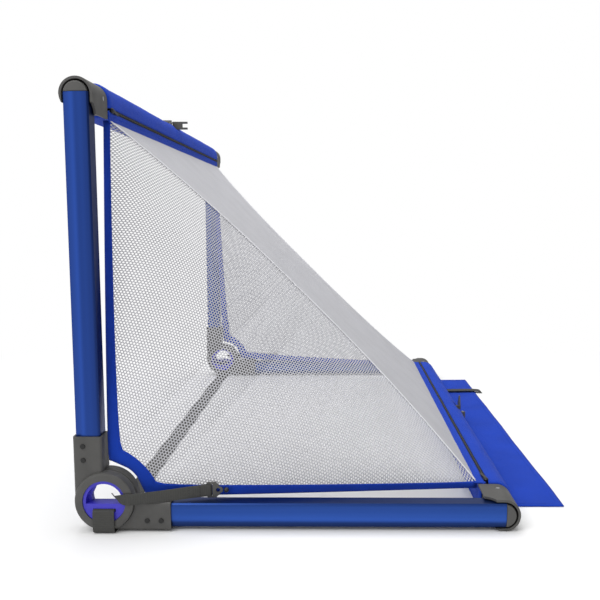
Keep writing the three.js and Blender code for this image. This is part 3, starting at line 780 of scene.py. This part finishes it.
def side_net(side):
    table_q, table_s, table_way = side_fabric_table()
    length = table_way[:, -1]

    def inside(a, q):
        return (a > -0.5) & (a < np.interp(q, table_q, length) - 5) & (np.abs(q) < HALF_SEAM - 1)

    cells = hex_cells((0, length.max()), (-HALF_SEAM, HALF_SEAM), inside)
    flat, faces, ridge = net_mesh(cells)
    a, q = flat[:, 0], flat[:, 1]
    at = np.clip((q - table_q[0]) / (table_q[1] - table_q[0]), 0, len(table_q) - 1.001)
    row = at.astype(int)
    s = np.zeros(len(flat))
    for r in np.unique(row):
        here = row == r
        near = np.interp(a[here], table_way[r], table_s[r])
        far = np.interp(a[here], table_way[r + 1], table_s[r + 1])
        s[here] = near + (far - near) * (at[here] - r)
    y = side_surface(q, s) + np.where(ridge, -0.3, 0.25)
    points = from_seam(q, s, y)
    return net_piece(f"side_net_mesh_{side}", flat, points, faces, side, (f"side_net_{side}",))


def rear_sag(q, y):
    reach = seam_reach(q)
    return REAR_SAG * (1 - (q / HALF_SEAM) ** 2) * np.clip(1 - (y / reach) ** 2, 0, 1)


def rear_net(side):
    sign = -1 if side == "right" else 1

    def inside(y, q):
        return (np.abs(y) < seam_reach(q) + 0.5) & (np.abs(q) < HALF_SEAM - 1) & (y * sign >= -0.01)

    cells = hex_cells((-516, 516), (-HALF_SEAM, HALF_SEAM), inside)
    flat, faces, ridge = net_mesh(cells)
    y, q = flat[:, 0], flat[:, 1]
    s = SEAM_S + 1 - rear_sag(q, y) + np.where(ridge, 0.4, -0.3)
    points = from_seam(q, s, y)
    stands_for = ("back_net",) if side == "right" else ()
    return net_piece(f"rear_net_mesh_{side}", flat, points, faces, replaces=stands_for)


def seam_line():
    q = np.linspace(-HALF_SEAM + 1, HALF_SEAM - 1, 160)
    return from_seam(q, np.full(len(q), SEAM_S + 0.5), -seam_reach(q))


def seam_tape(side):
    """The tape over the seam, with a cord along each of its edges."""
    line = seam_line()
    along = unit(np.gradient(line, axis=0))
    normal = unit(np.cross(along, [0.0, 1.0, 0.0]))
    normal = np.where((normal @ [1, 0, 1])[:, None] < 0, -normal, normal)
    across = unit(np.cross(along, normal))
    left = [(-4.5, 0.0), (-3.6, 0.9), (-2.6, 1.3), (-1.6, 0.7)]
    right = [(-w, h) for w, h in reversed(left)]
    under = [(2.5, -0.6), (0, -0.7), (-2.5, -0.6)]
    section = left + [(0, 0.35)] + right + under
    points = [line[i] + across[i] * w + normal[i] * h for i in range(len(line)) for w, h in section]
    way = np.concatenate([[0], np.cumsum(np.linalg.norm(np.diff(line, axis=0), axis=1))])
    cloth = [(w, way[i]) for i in range(len(line)) for w, h in section]
    return piece(
        f"seam_tape_{side}",
        points,
        tube_faces(len(line), len(section)),
        SEAM_TAPE,
        "net_mesh",
        side=side,
        cloth=cloth,
    )


def along_polyline(points, count):
    """Evenly spaced points along a line of straight pieces."""
    p = np.array(points, float)
    way = np.concatenate([[0], np.cumsum(np.linalg.norm(np.diff(p, axis=0), axis=1))])
    at = np.linspace(0, way[-1], count)
    return np.stack([np.interp(at, way, p[:, 0]), np.interp(at, way, p[:, 1])], 1)


BORDER_WIDTH = 24.0
BORDER_END = 636.0  # along the post, from the hub axis
BORDER_HUB_STEPS = 41
BORDER_POST_STEPS = 60


def border_edges():
    """The border band's two edges in (x, z): down the post, round the hub and along the ground bar."""
    t = np.linspace(1, 0, BORDER_POST_STEPS)
    post_outer = np.stack([3 - 12.6 * t**0.6, 66 + (BORDER_END - 66) * t], 1)
    post_inner = np.stack([26 - 24.5 * t**0.55, 83 + (BORDER_END - 83) * t], 1)
    angles = np.radians(np.linspace(55, 35, 9))
    arc = [((HUB_CLEAR + 0.5) * math.cos(a), (HUB_CLEAR + 0.5) * math.sin(a)) for a in angles]
    corners = [(2.4, 64.5), (34.4, 49.8)] + arc + [(49.8, 34.4), (64.5, 2.4)]
    hub_outer = along_polyline(corners, BORDER_HUB_STEPS)
    turn = np.linspace(0, 1, BORDER_HUB_STEPS)
    around = np.radians(71.5 + (18.5 - 71.5) * turn)
    radius = 85 - 3 * np.sin(math.pi * turn)
    hub_inner = np.stack([radius * np.cos(around), radius * np.sin(around)], 1)
    outer = np.concatenate([post_outer, hub_outer, post_outer[::-1, ::-1]])
    inner = np.concatenate([post_inner, hub_inner, post_inner[::-1, ::-1]])
    return outer, inner


def band_y(x, z):
    """y of the border band's middle surface."""
    q = (z - x) * math.sqrt(0.5)
    return side_surface(q, x + z)


def border(side):
    """The blue band along the side panel's free edges, with a row of stitches near each of its edges."""
    outer, inner = border_edges()
    across = np.linspace(0, 1, 7)
    crown = 1.1 * np.sqrt(np.clip(1 - (2 * across - 1) ** 4, 0, 1)) + 0.25
    way = np.concatenate([[0], np.cumsum(np.linalg.norm(np.diff(inner, axis=0), axis=1))])
    points, cloth = [], []
    for i in range(len(outer)):
        ring = []
        for k, t in enumerate(across):
            x, z = outer[i] + (inner[i] - outer[i]) * t
            ring.append((x, band_y(x, z), z, crown[k], t))
        for x, y, z, c, t in ring:
            points.append((x, y - c, z))
            cloth.append((t * BORDER_WIDTH, way[i]))
        for x, y, z, c, t in reversed(ring):
            points.append((x, y + c, z))
            cloth.append(((2 - t) * BORDER_WIDTH, way[i]))
    faces = tube_faces(len(outer), 2 * len(across))
    name = f"net_border_{side}"
    band = piece(name, points, faces, BINDING, "blue_fabric", side=side, cloth=cloth)
    made = [band]
    for label, t in (("inner", 0.86), ("outer", 0.16)):
        line = outer + (inner - outer) * t
        y = band_y(line[:, 0], line[:, 1]) - 1.25
        path = np.stack([line[:, 0], y, line[:, 1]], 1)
        name = f"net_border_stitches_{label}_{side}"
        made.append(stitches(name, path, (0, -1, 0), THREAD, "blue_fabric", side=side))
    return made


# ---- How the nets follow the hub fold ------------------------------------------------------------
# The hub fold is carried by two bones, one still and one that turns with the post. Every point of a net
# is shared between them by its angle round the hub axis.
WEIGHT_STEPS = 100


def hub_bones(side):
    """Two bones along the hub axis that ride on a side's ground body. One copies the side's post."""
    data = bpy.data.armatures.new(f"hub_bones_{side}")
    rig = bpy.data.objects.new(f"hub_bones_{side}", data)
    bpy.context.scene.collection.objects.link(rig)
    bpy.context.view_layer.objects.active = rig
    bpy.ops.object.mode_set(mode="EDIT")
    for label in ("still", "turning"):
        bone = data.edit_bones.new(label)
        bone.head = (0, 0, 0)
        bone.tail = (0, 1, 0)
    bpy.ops.object.mode_set(mode="OBJECT")
    follow = rig.pose.bones["turning"].constraints.new("COPY_TRANSFORMS")
    follow.target = bpy.data.objects[f"body:post_{side}"]
    rig.parent = bpy.data.objects[f"body:ground_{side}"]
    rig.hide_render = True
    return rig


RIGS = {side: hub_bones(side) for side in ("right", "left")}


def share_with_post(ob, side):
    """Shares each point between the two bones, by its angle up from the ground bar."""
    co = np.zeros(len(ob.data.vertices) * 3, np.float32)
    ob.data.vertices.foreach_get("co", co)
    co = co.reshape(-1, 3)
    angle = np.degrees(np.arctan2(co[:, 2] - HUB_Z * MM, co[:, 0]))
    weight = np.round(np.clip(angle / 90, 0, 1) * WEIGHT_STEPS).astype(int)
    still = ob.vertex_groups.new(name="still")
    turning = ob.vertex_groups.new(name="turning")
    for step in np.unique(weight):
        members = np.nonzero(weight == step)[0].tolist()
        turning.add(members, step / WEIGHT_STEPS, "REPLACE")
        still.add(members, 1 - step / WEIGHT_STEPS, "REPLACE")
    bend = ob.modifiers.new("hub_fold", "ARMATURE")
    bend.object = RIGS[side]


def fold_side_panel(ob, side):
    share_with_post(ob, side)
    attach(ob, f"ground_{side}")
    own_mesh(ob)


def fold_rear_panel(ob):
    share_with_post(ob, "right")
    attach(ob, "ground_right")
    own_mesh(ob)


for side in ("right", "left"):
    fold_side_panel(side_net(side), side)
    fold_side_panel(seam_tape(side), side)
    for ob in border(side):
        fold_side_panel(ob, side)
    fold_rear_panel(rear_net(side))


# ---- Straps --------------------------------------------------------------------------------------
OVER_HUB = HUB_FACE - 2.2  # y of a strap that lies over the hub's face


def flatten_at_hub(ob, side):
    """The folded post and ground bar close over the strap. Here the strap only rides on the side's ground
    body, and nothing flattens it.
    """
    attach(ob, f"ground_{side}")
    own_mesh(ob)


def tension_strap(side):
    """Out of the core's window in a slanted fold, over the hub's face and on to the buckle."""
    bx, by = BUCKLE[0], BUCKLE[1]
    run = [
        (12, HUB_FACE + 14, 6.5),
        (19, HUB_FACE + 5, 5.6),
        (26, OVER_HUB, 4.7),
        (36, OVER_HUB - 0.4, 5.2),
        (48, OVER_HUB, 6),
        (90, OVER_HUB + 8.4, 7.6),
        (130, by - 11.5, 9),
        (bx - 6, by - 1.4, 10),
        (bx + 1, by + 3.4, 10),
        (bx + 5.2, by + 4.6, 10),
        (bx + 7.2, by + 1.5, 10),
        (bx + 5.2, by - 1.6, 10),
        (bx, by - 2.2, 10),
        (bx - 7, by - 3.6, 9.9),
        (bx - 34, by - 10.0, 9.1),
    ]
    path = resample(run, 3)
    upright = np.clip((path[:, 0] - 28) / 18, 0, 1)[:, None]
    slanted = np.array([-0.62, 0.0, 0.78])
    across = slanted * (1 - upright) + np.array([0.0, 0.0, 1.0]) * upright
    width = np.interp(path[:, 0], [12, 22, 27, 46, 120], [10, 13, 21, 19, 20.6])
    ob = ribbon(
        f"tension_webbing_{side}",
        path,
        across,
        width,
        1.5,
        WEBBING,
        "webbing_grey",
        skewed=True,
        side=side,
        replaces=(f"tension_strap_{side}",),
    )
    flatten_at_hub(ob, side)
    for x in (bx - 11, bx - 29):
        y = np.interp(x, [run[-1][0], run[-2][0]], [run[-1][1], run[-2][1]]) - 0.9
        line = [(x, y, z) for z in np.linspace(1.5, 18, 8)]
        name = f"tension_stitches_{side}_{int(bx - x)}"
        row = stitches(name, line, (0, -1, 0), DARK_THREAD, "webbing_grey", side=side)
        flatten_at_hub(row, side)


for side in ("right", "left"):
    tension_strap(side)


def goal_line():
    """One webbing strap along the ground, up both hubs' outer faces and in below the cores' bars."""
    x = centre("goal_line_strap")[0]
    ground = 1.0 - HUB_Z
    half = [
        (x, CORE_BACK - 10, -8),
        (x, CORE_BACK - 14, -12.6),
        (x, HUB_FACE + 8, -13.2),
        (x, HUB_FACE + 1, -13.4),
        (x, OVER_HUB, -16),
        (x, OVER_HUB - 0.2, -30),
        (x, OVER_HUB, ground + 7),
        (x, HUB_FACE + 1.5, ground + 0.6),
        (x, HUB_FACE + 14, ground),
        (x, -500, ground),
        (x, -300, ground + 0.15),
        (x, -100, ground),
    ]
    other = [(x, -y, z) for x, y, z in reversed(half)]
    path = resample(half + other, 3)
    return ribbon(
        "goal_line_webbing",
        path,
        (1, 0, 0),
        36,
        1.6,
        WEBBING,
        "webbing_grey",
        replaces=("goal_line_strap",),
    )


# ---- Ground flap ---------------------------------------------------------------------------------
FLAP_HEM = 13.0  # width of the flap's folded edge
HEM_RISE = 0.55  # how much higher the fabric lies there
HEM_STITCHES = 10.5  # from the edge


def flap_height(x, y):
    """Height of the fabric over the ground, with shallow waves that die out towards the rear bar."""
    free = (x - FLAP_LOW[0]) / (FLAP_HIGH[0] - FLAP_LOW[0])
    wave = math.sin(y / 71.0 + 0.6) + 0.6 * math.sin(y / 31.0 + 2.0) + 0.3 * math.sin(x / 17.0 + y / 53.0)
    return 1.5 + 0.75 * free * (wave + 1.2)


def ground_flap():
    xs = np.concatenate([[FLAP_LOW[0] - 10], np.linspace(FLAP_LOW[0], FLAP_HIGH[0], 19)])
    ys = np.linspace(FLAP_LOW[1], FLAP_HIGH[1], 131)
    points, cloth = [], []
    for x in xs:
        for y in ys:
            edge = min(FLAP_HIGH[0] - x, y - FLAP_LOW[1], FLAP_HIGH[1] - y)
            fold = HEM_RISE if edge < FLAP_HEM else 0.0
            points.append((x, y, flap_height(x, y) + fold - HUB_Z))
            cloth.append((x, y))
    ob = piece(
        "flap_fabric",
        points,
        [tuple(reversed(f)) for f in grid_faces(len(xs), len(ys))],
        FABRIC,
        "blue_fabric",
        cloth=cloth,
        replaces=("ground_flap",),
    )
    solidify(ob, 1.2)
    rear = FLAP_HIGH[0] - HEM_STITCHES
    right, left = FLAP_LOW[1] + HEM_STITCHES, FLAP_HIGH[1] - HEM_STITCHES
    corners = [(FLAP_LOW[0] + 2, right), (rear, right), (rear, left), (FLAP_LOW[0] + 2, left)]
    line = []
    for a, b in zip(corners[:-1], corners[1:]):
        count = max(2, int(math.dist(a, b) / 8))
        for t in np.arange(count) / count:
            x, y = a[0] + (b[0] - a[0]) * t, a[1] + (b[1] - a[1]) * t
            line.append((x, y, flap_height(x, y) + HEM_RISE - HUB_Z))
    return [ob, stitches("flap_stitches", line, (0, 0, 1), THREAD, "blue_fabric")]


def flap_strap():
    y = (STRAP_LOW[1] + STRAP_HIGH[1]) / 2
    low_x, high_x = STRAP_LOW[0], STRAP_HIGH[0]
    top = FLAP_HIGH[0]
    run = [
        (low_x - 6, y, 7),
        (low_x + 4, y, 6.2),
        (low_x + 40, y, 7.0),
        (top - 20, y, 7.6),
        (top + 2, y, 7.2),
        (high_x - 7, y, 6.2),
        (high_x - 3, y, 4.4),
        (high_x, y, 1.6),
    ]
    path = [(x, y, z - HUB_Z) for x, y, z in run]
    return ribbon(
        "flap_webbing",
        resample(path, 3),
        (0, 1, 0),
        24,
        1.7,
        WEBBING,
        "webbing_grey",
        replaces=("flap_strap",),
    )


# What runs across the goal at ground level rides on the right ground body.
for ob in ground_flap() + [flap_strap(), goal_line()]:
    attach(ob, "ground_right")
    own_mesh(ob)

# ---- Studio --------------------------------------------------------------------------------------
floor_mesh = bpy.data.meshes.new("floor")
floor_corners = [(-30, -30, 0), (30, -30, 0), (30, 30, 0), (-30, 30, 0)]
floor_mesh.from_pydata(floor_corners, [], [(0, 1, 2, 3)])
floor = bpy.data.objects.new("floor", floor_mesh)
bpy.context.scene.collection.objects.link(floor)
floor_material, floor_tree, floor_shader = new_material("pale_floor")
floor_shader.inputs["Base Color"].default_value = (0.80, 0.80, 0.80, 1)
floor_shader.inputs["Roughness"].default_value = 0.7
floor_shader.inputs["Specular IOR Level"].default_value = 0.1
floor_mesh.materials.append(floor_material)

# Away from the goal the floor turns into the white of the backdrop, so that no horizon shows.
distance = node(floor_tree, "ShaderNodeVectorMath", OPERATION="DISTANCE")
floor_tree.links.new(node(floor_tree, "ShaderNodeNewGeometry").outputs["Position"], distance.inputs[0])
distance.inputs[1].default_value = (ARM / 2 * MM, 0, 0)
fade = node(floor_tree, "ShaderNodeMapRange", From_Min=0.72, From_Max=1.5)
floor_tree.links.new(distance.outputs["Value"], fade.inputs["Value"])
blank = node(floor_tree, "ShaderNodeEmission", Strength=1.0)
mixed = node(floor_tree, "ShaderNodeMixShader")
floor_tree.links.new(fade.outputs["Result"], mixed.inputs[0])
floor_tree.links.new(floor_shader.outputs[0], mixed.inputs[1])
floor_tree.links.new(blank.outputs[0], mixed.inputs[2])
floor_tree.links.new(mixed.outputs[0], floor_tree.nodes["Material Output"].inputs["Surface"])

# The studio is brighter in front of the goal and above it than behind it, which tells its metal
# faces apart.
world = bpy.data.worlds.new("studio")
bpy.context.scene.world = world
world.use_nodes = True
sky = world.node_tree
facing = node(sky, "ShaderNodeVectorMath", OPERATION="DOT_PRODUCT")
sky.links.new(node(sky, "ShaderNodeTexCoord").outputs["Generated"], facing.inputs[0])
facing.inputs[1].default_value = Vector((-0.75, -0.35, 0.55)).normalized()
shade = node(sky, "ShaderNodeMapRange", From_Min=-0.9, From_Max=0.9, To_Min=0.2, To_Max=1.05)
sky.links.new(facing.outputs["Value"], shade.inputs["Value"])
seen = node(sky, "ShaderNodeMix")
sky.links.new(node(sky, "ShaderNodeLightPath").outputs["Is Camera Ray"], seen.inputs["Factor"])
sky.links.new(shade.outputs["Result"], seen.inputs[2])
seen.inputs[3].default_value = 1.0
sky.nodes["Background"].inputs["Color"].default_value = (1, 1, 1, 1)
sky.links.new(seen.outputs[0], sky.nodes["Background"].inputs["Strength"])


def area_light(name, place, target, size, power):
    light = bpy.data.lights.new(name, "AREA")
    light.shape = "RECTANGLE"
    light.size, light.size_y = size
    light.energy = power
    ob = bpy.data.objects.new(name, light)
    bpy.context.scene.collection.objects.link(ob)
    ob.location = place
    ob.rotation_mode = "QUATERNION"
    ob.rotation_quaternion = (Vector(target) - Vector(place)).to_track_quat("-Z", "Y")


area_light("key", (-1.4, -2.0, 3.0), (0.3, 0, 0.3), (1.6, 1.6), 42)
area_light("top", (0.4, 0.2, 3.4), (0.4, 0, 0), (2.2, 2.2), 62)

camera_data = bpy.data.cameras.new("camera")
camera_data.sensor_width = 36
camera_data.lens = 41.05
camera_data.shift_x = -0.05125
camera_data.shift_y = -0.02488
camera_data.clip_start = 0.05
camera_data.clip_end = 100
camera = bpy.data.objects.new("camera", camera_data)
bpy.context.scene.collection.objects.link(camera)
bpy.context.scene.camera = camera


def aim(place, yaw, pitch, roll):
    """Camera at a place, turned by yaw from +Y towards +X, pitched down and rolled, in radians."""
    ahead = Vector((math.sin(yaw) * math.cos(pitch), math.cos(yaw) * math.cos(pitch), -math.sin(pitch)))
    right = Vector((math.cos(yaw), -math.sin(yaw), 0))
    up = right.cross(ahead)
    x = right * math.cos(roll) + up * math.sin(roll)
    y = up * math.cos(roll) - right * math.sin(roll)
    m = Matrix((x, y, -ahead)).transposed().to_4x4()
    m.translation = Vector(place)
    camera.matrix_world = m


aim((0.3925, -1.6924, 0.5208), -0.0129, 0.0956, -0.0029)
bpy.context.scene.view_settings.view_transform = "Standard"
